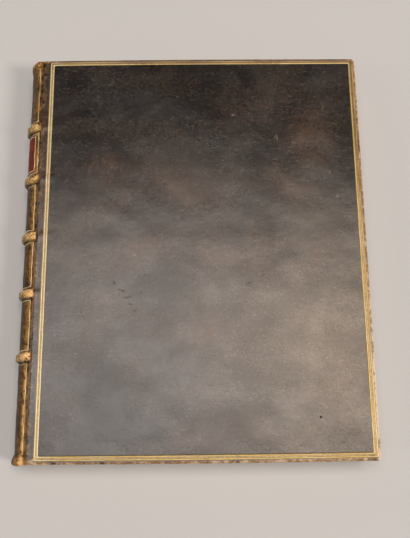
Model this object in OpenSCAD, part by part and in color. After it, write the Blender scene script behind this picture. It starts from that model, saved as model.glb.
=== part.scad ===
// Antique full leather book lying closed on its back cover.
// X runs from the spine to the fore-edge, Y from tail to head, Z is up.
// The origin is the centre of the book's box, on the surface that it lies on.

/* [Covers] */
// Height of the boards, tail to head
board_h = 280; // [180:1:400]
// Width of the boards, joint to fore-edge
board_w = 223; // [140:1:300]
// Thickness of the pasteboard in each cover
board_t = 2.8; // [2:0.1:5]
// Thickness of the covering leather
leather_t = 0.8; // [0.5:0.1:1.2]
// Thickness of the pared leather turned in over the inner face
turn_in_t = 0.4; // [0.3:0.1:0.6]
// Width of the turned-in leather
turn_in_w = 14; // [8:1:25]
// Radius of the rounded edges of the covers
edge_r = 1.2; // [0.8:0.1:1.6]
// Radius of the fore-edge corners seen from above
corner_r = 2.4; // [2:0.2:6]

/* [Pages] */
// Thickness of all the pages together
block_t = 21; // [12:0.5:50]
// Overhang of the boards past the pages at head, tail and fore-edge
square_w = 3.5; // [2:0.5:6]
// Depth of the hollow in the fore-edge
fore_edge_hollow = 4.5; // [2:0.5:6]
// Thickness of the endpapers
paper_t = 0.2; // [0.15:0.05:0.4]

/* [Spine] */
// Reach of the round spine past the joint
spine_round = 10.3; // [8:0.1:12]
// Thickness of the paper linings between the cords
lining_t = 0.4; // [0.2:0.1:0.8]
// Diameter of the sewing cords under the raised bands
cord_d = 2.6; // [2:0.1:3.4]
// Width of a raised band
band_w = 6; // [5:0.5:9]
// Distance from the head of the boards to the first band
head_panel = 51.5; // [30:0.5:70]
// Distances from each band to the next
band_steps = [38.5, 41, 39.5, 42]; // [25:0.5:60]
// Overhang of the head and tail caps past the boards
cap_over = 0.8; // [0:0.1:1.5]
// Radius of the rolled leather in the caps
cap_r = 2.2; // [1.8:0.1:2.6]
// Radius of the headbands
headband_r = 1.4; // [1:0.1:1.6]
// Half of the angle that the headbands cover around the spine
headband_angle = 54; // [40:1:58]

/* [Lacing] */
// Length of a cord's flattened slip on the board
slip_l = 14; // [8:1:25]
// Width of a slip
slip_w = 5; // [3:0.5:8]
// Thickness of a slip
slip_t = 0.7; // [0.4:0.1:1]
// Length of the slip's end that passes through the board
slip_end = 1.6; // [1:0.1:3]

/* [Label] */
// Thickness of the red label
label_t = 0.3; // [0.2:0.1:0.6]
// Half of the angle that the label covers around the spine
label_angle = 54; // [35:1:56]

/* [Gilding] */
// Width of a gilt line
line_w = 0.6; // [0.4:0.1:1.2]
// Distance between the centres of a pair of lines
line_pitch = 1.6; // [1.4:0.1:3]
// Distance from the board's edge to the centre of the outer line
edge_inset = 2.1; // [2:0.1:6]
// Distance from the joint to the centre of the line beside it
joint_inset = 5; // [3:0.1:12]
// Depth that the hot tool pressed into the leather
tool_depth = 0.2; // [0.1:0.05:0.3]
// Thickness of the gold left in the tooled lines
gilt_t = 0.14; // [0.08:0.02:0.2]
// Half of the angle from the lines by one joint to those by the other
panel_angle = 60; // [50:1:62]
// Distance from a raised band to the line beside it
band_line_gap = 1.2; // [0.6:0.1:4]

/* [Fits] */
// Gap at the joint between each cover and the spine
joint_gap = 0.3; // [0.2:0.05:0.6]
// Gap between each cover and the pages
leaf_gap = 0.1; // [0.05:0.05:0.5]

/* [Hidden] */
BAND_COUNT = len(band_steps) + 1;

// Heights above the middle plane of the closed book
cover_t = leather_t + board_t + turn_in_t + paper_t;
block_top = block_t / 2;
cover_low = block_top + paper_t + leaf_gap;
half_t = cover_low + cover_t;
turn_in_low = cover_low + paper_t;
board_low = turn_in_low + turn_in_t;
board_top = board_low + board_t;

// Distances from the joint
leather_x = joint_gap;
board_x = leather_x + paper_t;
cover_end = leather_x + board_w;
block_w = cover_end - square_w;
half_h = board_h / 2;
block_half_h = half_h - square_w;
board_size = [cover_end - leather_t - board_x, board_h - 2 * leather_t];
window_x = cover_end - turn_in_w;
window_y = half_h - turn_in_w;

// The spine is a round about an axis that runs from tail to head
spine_r = (half_t * half_t + spine_round * spine_round) / (2 * spine_round);
spine_x = spine_r - spine_round;
pages_r = spine_r - leather_t - lining_t;
lining_r = pages_r + lining_t;
cord_r = cord_d / 2;
band_r = lining_r + cord_d - lining_t + leather_t;
band_rise = band_r - spine_r;
band_curve_r = (band_w * band_w / 4 + band_rise * band_rise) / (2 * band_rise);
shoulder_z = sqrt(pages_r * pages_r - spine_x * spine_x);
spine_half_h = half_h + cap_over;
cap_bulge = leather_t;
headband_y = block_half_h + headband_r;
crease_r = 1.5 * joint_gap;
hinge_rise = joint_gap / 2;

// Heights of the bands, the first one nearest the head
function steps_before(i) = i == 0 ? 0 : band_steps[i - 1] + steps_before(i - 1);
band_y = [for (i = [0 : BAND_COUNT - 1]) half_h - head_panel - steps_before(i)];

// Each panel lies between two edges: a band on either side, or a cap at head and tail
panel_top = [for (i = [0 : BAND_COUNT]) i == 0 ? half_h - 2 * cap_r : band_y[i - 1] - band_w / 2];
panel_low = [for (i = [0 : BAND_COUNT]) i == BAND_COUNT ? -half_h + 2 * cap_r : band_y[i] + band_w / 2];
LABEL_PANEL = 1;

// The middle of the book's box
middle_x = (cover_end - spine_round - band_rise) / 2;

ROUND_STEPS = 120;
EDGE_STEPS = 32;
// A length past every face, and how far a cut runs past the face that it opens
BIG = 2 * (board_w + board_h);
CUT = 1;

LEATHER = [0.13, 0.1, 0.085];
WORN_LEATHER = [0.36, 0.24, 0.14];
PASTEBOARD = [0.62, 0.54, 0.42];
PAPER = [0.86, 0.8, 0.66];
PAGES = [0.8, 0.73, 0.58];
HEMP = [0.68, 0.58, 0.42];
GOLD = [0.8, 0.62, 0.28];
RED_LEATHER = [0.42, 0.09, 0.06];
SILK = [0.72, 0.6, 0.42];

// Puts what is drawn about the middle plane and the joint into the book's own frame
module placed() {
    translate([-middle_x, 0, half_t]) children();
}

// The front cover is drawn upwards, and the back cover is its mirror image
module cover_side(front) {
    placed() mirror([0, 0, front ? 0 : 1]) children();
}

// Turns what stands about the Z axis so that it stands about the spine's axis
module about_spine(y = 0) {
    translate([spine_x, y, 0]) rotate([-90, 0, 0]) children();
}

// A box from one corner to the other
module span(low, high) {
    translate(low) cube(high - low);
}

// A shell around the spine, open towards the pages
module spine_sector(r_low, r_high, angle, y_low, y_high) {
    about_spine() rotate([0, 0, 180 - angle])
        rotate_extrude(angle = 2 * angle, $fn = ROUND_STEPS)
            translate([r_low, y_low]) square([r_high - r_low, y_high - y_low]);
}

// A ring of round section around the spine
module spine_ring(ring_r, section_r, y) {
    about_spine(y) rotate_extrude($fn = ROUND_STEPS)
        translate([ring_r, 0]) circle(section_r, $fn = EDGE_STEPS);
}

// Everything on the spine's side of the joint and no higher than z
module spine_side(z) {
    intersection() {
        children();
        span([-BIG, -BIG, -z], [0, BIG, z]);
    }
}

// Section of the pages: round back with shoulders, hollow fore-edge
module page_section() {
    hollow_r = (block_top * block_top + fore_edge_hollow * fore_edge_hollow) / (2 * fore_edge_hollow);
    difference() {
        union() {
            translate([-paper_t, -block_top]) square([block_w + paper_t, block_t]);
            intersection() {
                translate([spine_x, 0]) circle(pages_r, $fn = ROUND_STEPS);
                translate([-spine_r, -half_t]) square([spine_r - paper_t, 2 * half_t]);
            }
        }
        translate([block_w - fore_edge_hollow + hollow_r, 0]) circle(hollow_r, $fn = ROUND_STEPS);
    }
}

module text_block() {
    color(PAGES) placed() rotate([90, 0, 0])
        linear_extrude(2 * block_half_h, center = true) page_section();
}

// The free leaf, with the strip that climbs the shoulder to the joint
module endpaper(front) {
    strip_z = shoulder_z - paper_t;
    color(PAPER) cover_side(front) {
        span([-paper_t, -block_half_h, block_top], [block_w - paper_t, block_half_h, block_top + paper_t]);
        span([-paper_t, -block_half_h, block_top], [0, block_half_h, strip_z]);
    }
}

// One paper lining in each panel, between the cords
module spine_lining() {
    color(PAPER) placed() spine_side(half_t) {
        for (i = [0 : BAND_COUNT]) {
            y_high = i == 0 ? block_half_h : band_y[i - 1] - cord_r;
            y_low = i == BAND_COUNT ? -block_half_h : band_y[i] + cord_r;
            spine_sector(pages_r, lining_r, 90, y_low, y_high);
        }
    }
}

// A hemp cord across the back of the pages, pressed flat where it nears the joints
module sewing_cord(i) {
    color(HEMP) placed() spine_side(board_top)
        difference() {
            spine_ring(pages_r + cord_r, cord_r, band_y[i]);
            about_spine(band_y[i]) cylinder(cord_d, r = pages_r, center = true, $fn = ROUND_STEPS);
        }
}

// A roll sewn over with silk, on the edge of the pages under the cap
module headband(end) {
    color(SILK) placed()
        about_spine(end * headband_y) rotate([0, 0, 180 - headband_angle])
            rotate_extrude(angle = 2 * headband_angle, $fn = ROUND_STEPS)
                translate([lining_r - headband_r, 0]) circle(headband_r, $fn = EDGE_STEPS);
}

// Frames of gilt lines in the panels, used for the gold and for the grooves that hold it
module panel_frames(r_low, r_high) {
    line_angle = line_w / spine_r * 90 / PI;
    for (i = [0 : BAND_COUNT]) {
        y_high = panel_top[i] - band_line_gap;
        y_low = panel_low[i] + band_line_gap;
        difference() {
            spine_sector(r_low, r_high, panel_angle + line_angle, y_low, y_high);
            spine_sector(r_low - CUT, r_high + CUT, panel_angle - line_angle, y_low + line_w, y_high - line_w);
        }
    }
}

// The outside of the spine: round back, raised bands and rolled caps
module spine_outside() {
    cap_y = spine_half_h - cap_r;
    about_spine() cylinder(2 * cap_y, r = spine_r, center = true, $fn = ROUND_STEPS);
    for (y = band_y) spine_ring(band_r - band_curve_r, band_curve_r, y);
    for (y = [-cap_y, cap_y]) spine_ring(spine_r + cap_bulge - cap_r, cap_r, y);
}

// What the leather of the spine is stretched over
module spine_inside() {
    open_r = lining_r - 2 * headband_r;
    about_spine() cylinder(2 * headband_y, r = lining_r, center = true, $fn = ROUND_STEPS);
    about_spine() cylinder(BIG, r = open_r, center = true, $fn = ROUND_STEPS);
    for (y = band_y) spine_ring(pages_r + cord_r, cord_r, y);
    for (end = [-1, 1]) spine_ring(lining_r - headband_r, headband_r, end * headband_y);
}

module spine_leather() {
    color(WORN_LEATHER) placed() difference() {
        spine_side(half_t) difference() {
            spine_outside();
            spine_inside();
        }
        panel_frames(spine_r - tool_depth, spine_r + CUT);
        for (side = [-1, 1]) joint_crease(side);
    }
}

// The crease along each joint, round about the line that the cover turns on
module joint_crease(side) {
    translate([joint_gap / 2, 0, side * (half_t + hinge_rise)]) rotate([90, 0, 0])
        cylinder(BIG, r = crease_r, center = true, $fn = EDGE_STEPS);
}

module spine_gilding() {
    color(GOLD) placed() panel_frames(spine_r - tool_depth, spine_r - tool_depth + gilt_t);
}

// Height of the label inside its panel's frame
label_margin = band_line_gap + 2 * line_w;
label_low = panel_low[LABEL_PANEL] + label_margin;
label_high = panel_top[LABEL_PANEL] - label_margin;

module spine_label() {
    color(RED_LEATHER) placed()
        spine_sector(spine_r, spine_r + label_t, label_angle, label_low, label_high);
}

// A gilt line along the head and the tail of the label
module label_gilding() {
    line_r = spine_r + label_t;
    color(GOLD) placed() for (y = [label_low + line_w, label_high - 2 * line_w])
        spine_sector(line_r, line_r + gilt_t, label_angle, y, y + line_w);
}

// Outline of the pasteboard, a little round at the fore-edge corners
module board_outline() {
    r = corner_r - leather_t;
    square_end = board_size[0] - r;
    translate([board_x, -board_size[1] / 2]) union() {
        square([square_end, board_size[1]]);
        translate([0, r]) square([board_size[0], board_size[1] - 2 * r]);
        for (y = [r, board_size[1] - r]) translate([square_end, y]) circle(r, $fn = EDGE_STEPS);
    }
}

// The slips of all the cords: flat on the board, then through it
module cord_slips_shape() {
    for (y = band_y) {
        span([board_x, y - slip_w / 2, board_top - slip_t], [board_x + slip_l, y + slip_w / 2, board_top]);
        span([board_x + slip_l - slip_end, y - slip_w / 2, board_low], [board_x + slip_l, y + slip_w / 2, board_top]);
    }
}

module board(front) {
    color(PASTEBOARD) cover_side(front) difference() {
        translate([0, 0, board_low]) linear_extrude(board_t) board_outline();
        cord_slips_shape();
    }
}

module cord_slips(front) {
    color(HEMP) cover_side(front) cord_slips_shape();
}

// A disc with a rounded rim, for the corners of a cover
module corner_disc(y, x) {
    disc_t = half_t - turn_in_low;
    translate([x, y, turn_in_low]) rotate_extrude($fn = EDGE_STEPS) union() {
        square([corner_r - edge_r, disc_t]);
        translate([0, edge_r]) square([corner_r, disc_t - 2 * edge_r]);
        for (z = [edge_r, disc_t - edge_r]) translate([corner_r - edge_r, z]) circle(edge_r, $fn = EDGE_STEPS);
    }
}

// The outside of a covered board, cut off square at the joint
module cover_outside() {
    corner_y = half_h - corner_r;
    intersection() {
        hull() for (x = [-corner_r, cover_end - corner_r], y = [-corner_y, corner_y]) corner_disc(y, x);
        span([leather_x, -BIG, turn_in_low], [BIG, BIG, half_t]);
    }
}

// A pair of gilt lines inside each other, used for the gold and for the grooves that hold it
module fillet_lines(z_low, z_high) {
    for (inset = [0, line_pitch]) {
        low = [leather_x + joint_inset + inset, -half_h + edge_inset + inset];
        high = [cover_end - edge_inset - inset, half_h - edge_inset - inset];
        w = [line_w / 2, line_w / 2];
        difference() {
            span([each (low - w), z_low], [each (high + w), z_high]);
            span([each (low + w), z_low - CUT], [each (high - w), z_high + CUT]);
        }
    }
}

// Leather over the outer face and the edges, turned in around the inner face
module cover_leather(front) {
    color(LEATHER) cover_side(front) difference() {
        cover_outside();
        translate([0, 0, board_low]) linear_extrude(board_t) board_outline();
        span([-CUT, -window_y, turn_in_low - CUT], [window_x, window_y, board_low]);
        span([-CUT, -half_h + leather_t, turn_in_low - CUT], [board_x, half_h - leather_t, board_top]);
        fillet_lines(half_t - tool_depth, half_t + CUT);
        joint_crease(1);
    }
}

// Paper over the board and the turned-in leather, stepped at the leather's edge
module pastedown(front) {
    color(PAPER) cover_side(front) {
        difference() {
            union() {
                span([leather_x, -block_half_h, cover_low], [block_w - paper_t, block_half_h, turn_in_low]);
                span([leather_x, -window_y, cover_low], [window_x, window_y, board_low]);
            }
            span([board_x, paper_t - window_y, cover_low - CUT],
                [window_x - paper_t, window_y - paper_t, board_low - paper_t]);
        }
        span([leather_x, -block_half_h, cover_low], [board_x, block_half_h, board_top]);
    }
}

module gilding(front) {
    color(GOLD) cover_side(front) fillet_lines(half_t - tool_depth, half_t - tool_depth + gilt_t);
}

text_block();
endpaper(true);  // front_endpaper
endpaper(false);  // back_endpaper
spine_lining();
for (i = [0 : BAND_COUNT - 1]) sewing_cord(i);
headband(1);  // head_headband
headband(-1);  // tail_headband
spine_leather();
spine_label();
spine_gilding();
label_gilding();
board(true);  // front_board
cord_slips(true);  // front_cord_slips
pastedown(true);  // front_pastedown
cover_leather(true);  // front_leather
gilding(true);  // front_gilding
board(false);  // back_board
cord_slips(false);  // back_cord_slips
pastedown(false);  // back_pastedown
cover_leather(false);  // back_leather
gilding(false);  // back_gilding
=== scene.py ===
import math
from functools import partialmethod

import bmesh
import bpy
import numpy as np
from mathutils import Matrix, Vector

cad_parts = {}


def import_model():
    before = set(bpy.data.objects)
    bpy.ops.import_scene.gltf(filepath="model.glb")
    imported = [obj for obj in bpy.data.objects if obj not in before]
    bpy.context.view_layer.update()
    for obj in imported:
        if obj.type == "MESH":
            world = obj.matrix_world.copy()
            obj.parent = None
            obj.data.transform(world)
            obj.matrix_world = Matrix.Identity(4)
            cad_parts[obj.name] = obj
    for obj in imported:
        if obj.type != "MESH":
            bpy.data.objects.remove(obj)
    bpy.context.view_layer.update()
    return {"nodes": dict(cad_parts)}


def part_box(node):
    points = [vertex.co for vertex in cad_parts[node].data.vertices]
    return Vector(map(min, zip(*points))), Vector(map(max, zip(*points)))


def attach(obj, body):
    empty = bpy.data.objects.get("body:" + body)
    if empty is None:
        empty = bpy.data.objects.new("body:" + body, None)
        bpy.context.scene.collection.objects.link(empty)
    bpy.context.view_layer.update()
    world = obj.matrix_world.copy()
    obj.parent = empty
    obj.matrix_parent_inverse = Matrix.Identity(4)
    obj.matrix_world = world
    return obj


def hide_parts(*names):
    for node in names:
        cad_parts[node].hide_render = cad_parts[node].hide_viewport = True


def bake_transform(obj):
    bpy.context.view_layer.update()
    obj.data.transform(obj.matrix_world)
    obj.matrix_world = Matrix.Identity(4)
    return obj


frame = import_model()

MM = 0.001
WAVE_COUNT = 7

# Places that the frame gives: the covers, the pages, the joint line and the middle plane
LEATHER_LOW, LEATHER_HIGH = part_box("front_leather")
BOARD_LOW, BOARD_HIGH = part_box("front_board")
GILT_LOW, GILT_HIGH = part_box("front_gilding")
BLOCK_LOW, BLOCK_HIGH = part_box("text_block")
LABEL_LOW, LABEL_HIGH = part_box("spine_label")
SPINE_LOW, SPINE_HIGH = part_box("spine_leather")
MIDDLE = (BLOCK_LOW.z + BLOCK_HIGH.z) / 2
X0, X1, HALF_H = LEATHER_LOW.x, LEATHER_HIGH.x, LEATHER_HIGH.y
TOP = LEATHER_HIGH.z - MIDDLE
EDGE_T = LEATHER_HIGH.z - LEATHER_LOW.z
LEATHER_T = LEATHER_HIGH.z - BOARD_HIGH.z
TURNED_T = BOARD_LOW.z - LEATHER_LOW.z
JOINT_X = SPINE_HIGH.x
JOINT_GAP = X0 - JOINT_X

# Each cover: above or below the middle plane, the seed of its unevenness and its word in names
SIDES = ((1, 11, "front"), (-1, 47, "back"))

# The spine is a round about an axis along Y, found from its reach past the joint
LABEL_T = 0.3 * MM
SPINE_REACH = JOINT_X - LABEL_LOW.x - LABEL_T
SPINE_R = (TOP ** 2 + SPINE_REACH ** 2) / (2 * SPINE_REACH)
AXIS_X = JOINT_X - SPINE_REACH + SPINE_R
ARC_HALF = math.acos((AXIS_X - JOINT_X) / SPINE_R) * SPINE_R
SPINE_SEED = 5

# Raised bands over the sewing cords, and the rolled caps at head and tail
CORD_BOXES = [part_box(f"sewing_cord_{number}") for number in range(1, 6)]
BAND_Y = [(low.y + high.y) / 2 for low, high in CORD_BOXES]
BAND_W = 6 * MM
BAND_RISE = AXIS_X - SPINE_R - SPINE_LOW.x
CAP_R = 2.2 * MM
CAP_Y = SPINE_HIGH.y - CAP_R
CAP_BULGE = 0.8 * MM
TAIL_FULLNESS = 0.9 * MM
CAP_RUN = 6 * MM
CAP_PINCH = 0.62
CAP_ROLL = math.radians(158)

# Gilt lines round a cover: a pair, its lines a little further apart along the fore-edge and the tail
LINE_W = 0.6 * MM
GOLD_W = 1.02 * MM
SPINE_GOLD_W = 0.84 * MM
EDGE_INSET = X1 - GILT_HIGH.x + LINE_W / 2
TAIL_INSET = EDGE_INSET + 0.6 * MM
JOINT_INSET = GILT_LOW.x - X0 + LINE_W / 2 + 0.3 * MM
HEAD_PITCH, TAIL_PITCH = 1.6 * MM, 1.9 * MM
JOINT_PITCH, FORE_PITCH = 1.7 * MM, 2.2 * MM


def smooth(t):
    """0 below 0, 1 above 1, and an even curve between them."""
    t = np.clip(t, 0, 1)
    return t * t * (3 - 2 * t)


def bell(distance, reach):
    """1 at no distance, falling to about a third at the reach."""
    return np.exp(-(distance / reach) ** 2)


def waves(a, b, wavelength, seed):
    """Even bumps between about -1 and 1 over a plane, the same at each run."""
    rng = np.random.default_rng(seed)
    total = np.zeros(np.broadcast(a, b).shape)
    for _ in range(WAVE_COUNT):
        turn, phase = rng.uniform(0, 2 * math.pi, 2)
        k = 2 * math.pi / (wavelength * rng.uniform(0.7, 1.5))
        total += np.sin(k * (a * math.cos(turn) + b * math.sin(turn)) + phase)
    return total / math.sqrt(WAVE_COUNT) / 1.4


def spaced(marks, steps):
    """Places from the first mark to the last, with a step in mm between each pair of marks."""
    places = []
    for a, b, step in zip(marks, marks[1:], steps):
        places.append(np.linspace(a, b, max(1, round((b - a) / (step * MM))) + 1)[:-1])
    return np.concatenate(places + [[marks[-1]]])


def vertex_grid(rows, columns, start=0):
    """The numbers of the vertices of a grid in rows, counted from start."""
    return start + np.arange(rows * columns).reshape(rows, columns)


def quads(grid):
    """Faces between neighbours in a grid of vertex numbers."""
    return np.stack([grid[:-1, :-1], grid[:-1, 1:], grid[1:, 1:], grid[1:, :-1]], axis=2).reshape(-1, 4)


def slab_faces(rows, columns):
    """Faces of a grid, of a second grid behind it, and of the walls between their rims."""
    front = vertex_grid(rows, columns)
    faces = [quads(front), quads(front + front.size)[:, ::-1]]
    for rim in (front[:, [0, -1]], front.T[:, [0, -1]]):
        a, b = rim[:-1].ravel(), rim[1:].ravel()
        faces.append(np.stack([a, b, b + front.size, a + front.size], axis=1))
    return np.concatenate(faces)


def loop_faces(rings, count, closed=True):
    """Faces between closed rings of count vertices each. The last ring joins the first if closed."""
    return quads(np.pad(vertex_grid(rings, count), ((0, int(closed)), (0, 1)), "wrap"))


def tube_faces(rings, count):
    """Faces between the rings of a tube and over each of its ends."""
    grid = vertex_grid(rings, count)
    return [*loop_faces(rings, count, closed=False), grid[0], grid[-1]]


def merged(parts):
    """The points and faces of several parts as one array of each."""
    points, faces = zip(*parts)
    starts = np.cumsum([0] + [len(part) for part in points[:-1]])
    return np.concatenate(points), np.concatenate([part + start for part, start in zip(faces, starts)])


def make_piece(name, points, faces, body, material, replaces=(), values=None, uv=None):
    """A mesh that rides on a body. values are numbers kept for each vertex, uv a pair for each."""
    mesh = bpy.data.meshes.new(name)
    mesh.from_pydata(np.asarray(points, float).tolist(), [], [list(map(int, f)) for f in faces])
    mesh.validate(clean_customdata=False)
    mesh.shade_smooth()
    for key, numbers in (values or {}).items():
        stored = mesh.attributes.new(key, "FLOAT", "POINT").data
        stored.foreach_set("value", np.asarray(numbers, np.float32))
    if uv is not None:
        layer = mesh.uv_layers.new(name="along")
        corner = np.zeros(len(mesh.loops), np.int32)
        mesh.loops.foreach_get("vertex_index", corner)
        layer.data.foreach_set("uv", np.asarray(uv, np.float32)[corner].ravel())
    mesh.materials.append(material)
    piece = bpy.data.objects.new(name, mesh)
    bpy.context.scene.collection.objects.link(piece)
    fix_normals(piece)
    if body:
        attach(piece, body)
    if replaces:
        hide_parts(*replaces)
    return piece


def fix_normals(piece):
    """Turns every face of a closed mesh outwards."""
    work = bmesh.new()
    work.from_mesh(piece.data)
    bmesh.ops.recalc_face_normals(work, faces=work.faces)
    work.to_mesh(piece.data)
    work.free()


# Numbers of the colour sockets of a mix node, whose names other sockets share
MIX_FIRST, MIX_SECOND, MIX_RESULT = 6, 7, 2


class Nodes:
    """Short calls for the nodes of one tree. A scale counts features to the metre."""

    def __init__(self, tree, space="Object"):
        self.tree = tree
        self.place = self.node("ShaderNodeTexCoord").outputs[space]

    def node(self, kind, given=(), **settings):
        """A new node with its settings, and outputs or plain values given to its inputs."""
        made = self.tree.nodes.new(kind)
        for key, value in settings.items():
            setattr(made, key, value)
        for key, value in dict(given).items():
            self.put(made.inputs[key], value)
        return made

    def put(self, socket, value):
        """Joins an output to a socket, or sets a number or colour on it."""
        if isinstance(value, bpy.types.NodeSocket):
            self.tree.links.new(value, socket)
        else:
            socket.default_value = value

    def stretched(self, stretch):
        """The place, with each of its axes scaled if a stretch is given."""
        if stretch is None:
            return self.place
        return self.node("ShaderNodeMapping", {"Vector": self.place, "Scale": stretch}).outputs["Vector"]

    def noise(self, scale, detail=3, rough=0.55, warp=0.0, stretch=None):
        given = {"Vector": self.stretched(stretch), "Scale": scale, "Detail": detail, "Roughness": rough,
                 "Distortion": warp}
        return self.node("ShaderNodeTexNoise", given).outputs["Fac"]

    def cells(self, scale, feature="F1", stretch=None):
        given = {"Vector": self.stretched(stretch), "Scale": scale}
        return self.node("ShaderNodeTexVoronoi", given, feature=feature).outputs["Distance"]

    def axis(self, name, place=None):
        return self.node("ShaderNodeSeparateXYZ", {"Vector": place or self.place}).outputs[name]

    def value(self, name):
        """A number that the mesh keeps for each vertex."""
        return self.node("ShaderNodeAttribute", attribute_name=name).outputs["Fac"]

    def fold(self, operation, total, *values):
        """One number from several, taken in one after another."""
        for value in values:
            total = self.node("ShaderNodeMath", {0: total, 1: value}, operation=operation).outputs[0]
        return total

    plus = partialmethod(fold, "ADD")
    minus = partialmethod(fold, "SUBTRACT")
    times = partialmethod(fold, "MULTIPLY")
    most = partialmethod(fold, "MAXIMUM")
    least = partialmethod(fold, "MINIMUM")

    def sine(self, value):
        return self.node("ShaderNodeMath", {0: value}, operation="SINE").outputs[0]

    def range(self, value, low, high, to_low=0.0, to_high=1.0):
        """to_low where the value is low or less, to_high where it is high or more, smooth between."""
        given = {"Value": value, "From Min": low, "From Max": high, "To Min": to_low, "To Max": to_high}
        return self.node("ShaderNodeMapRange", given, interpolation_type="SMOOTHSTEP").outputs["Result"]

    def mix(self, share, *colours):
        """The first of two colours, and the second where the share is 1."""
        a, b = (c if isinstance(c, bpy.types.NodeSocket) else (*c, 1.0) for c in colours)
        given = {"Factor": share, MIX_FIRST: a, MIX_SECOND: b}
        return self.node("ShaderNodeMix", given, data_type="RGBA").outputs[MIX_RESULT]

    def layers(self, colour, *layers):
        """A colour with others laid over it in turn, each with its own share."""
        for share, over in layers:
            colour = self.mix(share, colour, over)
        return colour

    def bump(self, height, depth, strength=1.0, under=None):
        made = self.node("ShaderNodeBump", {"Height": height, "Distance": depth, "Strength": strength})
        if under:
            self.put(made.inputs["Normal"], under)
        return made.outputs["Normal"]


class Shader(Nodes):
    """A node material with one principled surface."""

    def __init__(self, name, **values):
        self.material = bpy.data.materials.new(name)
        self.material.use_nodes = True
        super().__init__(self.material.node_tree)
        self.sockets = self.tree.nodes["Principled BSDF"].inputs
        for key, value in values.items():
            self.sockets[key.replace("_", " ")].default_value = value

    def finish(self, colour, **given):
        """Joins the colour and what else is given to the surface, and gives back the material."""
        self.put(self.sockets["Base Color"], colour)
        for key, value in given.items():
            self.put(self.sockets[key.replace("_", " ")], value)
        return self.material


GOLD = (0.8, 0.615, 0.235)
PALE_GOLD = (0.92, 0.81, 0.53)
FADED_GOLD = (0.56, 0.39, 0.17)
CALF_BLACK = (0.004, 0.0035, 0.003)
CALF_DARK = (0.0055, 0.0045, 0.004)
CALF_BROWN = (0.031, 0.022, 0.016)
CALF_WARM = (0.115, 0.061, 0.033)
CALF_WORN = (0.3, 0.17, 0.068)
CALF_BARE = (0.7, 0.5, 0.33)
CALF_RAW_AND_HIGHLIGHT = (0.88, 0.75, 0.6)
CALF_SCUFF = (0.19, 0.17, 0.153)
SPINE_DARK = (0.012, 0.007, 0.004)
SPINE_BROWN = (0.1, 0.05, 0.014)
SPINE_WORN = (0.42, 0.21, 0.05)
SPINE_BARE = (0.97, 0.58, 0.28)
MOROCCO_DARK = (0.12, 0.016, 0.005)
MOROCCO_RED = (0.3, 0.045, 0.012)
MOROCCO_WORN = (0.3, 0.12, 0.05)
PAGE_CREAM = (0.76, 0.6, 0.4)
# Painted shade between the leaves, seen on the page edges
PAGE_SHADE = (0.34, 0.225, 0.125)
PAGE_BROWN = (0.45, 0.31, 0.18)
PAGE_STAIN = (0.3, 0.2, 0.1)
PAPER_CREAM = (0.66, 0.55, 0.37)
PAPER_BROWN = (0.52, 0.41, 0.25)
PAPER_LINE = (0.4, 0.3, 0.17)
PAPER_FOX = (0.3, 0.16, 0.06)
SILK_CREAM = (0.5, 0.38, 0.2)
SILK_RED = (0.2, 0.035, 0.025)
SILK_DIRT = (0.11, 0.07, 0.04)
HEMP_DARK = (0.26, 0.18, 0.09)
HEMP_PALE = (0.5, 0.39, 0.23)
BOARD_DARK = (0.2, 0.155, 0.1)
BOARD_PALE = (0.36, 0.29, 0.2)

# Marks that use has left on the front cover: x and y in mm, reach across and along, turn in degrees
WARM_PATCHES = ((-102.6, 62, 4.5, 70, 0), (84, 76, 34, 30, 20), (66, 44, 34, 22, -15),
                (-35, 0, 38, 24, 30), (25, -4, 66, 24, 4), (78, -14, 38, 22, 25),
                (-12, 44, 44, 22, -20), (-60, 56, 30, 20, 10), (10, -60, 56, 18, -8))
PALE_MARKS = ((95.6, 52.8, 0.5, 1.5, -35), (102.3, 36, 3.5, 0.4, 8), (29.5, 96.3, 1.8, 1.1, 0),
              (59.9, 79.3, 0.9, 3.4, 12), (22, 62, 0.6, 0.5, 0), (-10, 111, 0.6, 0.45, 0),
              (100, 35, 2.4, 1.6, 0))
DARK_MARKS = ((81, -112.8, 0.95, 0.95, 0),)
FINE_CREASES = ((-47, -29, 3.5, 0.35, -18), (-52, -24, 0.4, 2.6, 25), (-43, -34, 3.0, 0.3, 8),
                (38, -25, 2.6, 0.4, 14), (-41, -38.5, 2.2, 0.3, -10), (-34, -31, 1.8, 0.3, 24),
                (-38, -43, 1.6, 0.25, 5), (47, -20, 1.8, 0.3, 38))
MARK_REACH = 5 * MM


def leather_grain(s, depth=1.0):
    """Pores, fine wrinkles, cockles and broad unevenness, as bump at their real size."""
    pores = s.range(s.cells(1500), 0.05, 0.6)
    creases = s.range(s.cells(820, feature="DISTANCE_TO_EDGE", stretch=(1, 0.7, 1)), 0.0, 0.15)
    cockles = s.noise(340, 3, 0.5)
    broad = s.noise(45, 4)
    normal = s.bump(pores, 0.02 * MM * depth)
    normal = s.bump(creases, 0.012 * MM * depth, under=normal)
    normal = s.bump(cockles, 0.04 * MM * depth, under=normal)
    return s.bump(broad, 0.6 * MM * depth, strength=0.6, under=normal)


def marks(s, spots, ragged=0.0, soft=False):
    """1 within any of the spots on the front cover and 0 away from them, with ragged or soft rims."""
    distances = []
    for x, y, across, along, turn in spots:
        given = {"Vector": s.place, "Location": (x * MM, y * MM, LEATHER_HIGH.z),
                 "Rotation": (0, 0, math.radians(turn)), "Scale": (across * MM, along * MM, MARK_REACH)}
        local = s.node("ShaderNodeMapping", given, vector_type="TEXTURE").outputs["Vector"]
        distances.append(s.node("ShaderNodeVectorMath", {0: local}, operation="LENGTH").outputs["Value"])
    nearest = s.least(*distances)
    if soft:
        return s.range(nearest, 0.0, 1.0, 1.0, 0.0)
    rim = s.times(s.noise(260, 4, 0.7), ragged)
    return s.range(s.plus(nearest, rim), 0.25 + ragged * 0.5, 1.0 + ragged * 0.5, 1.0, 0.0)


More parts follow.
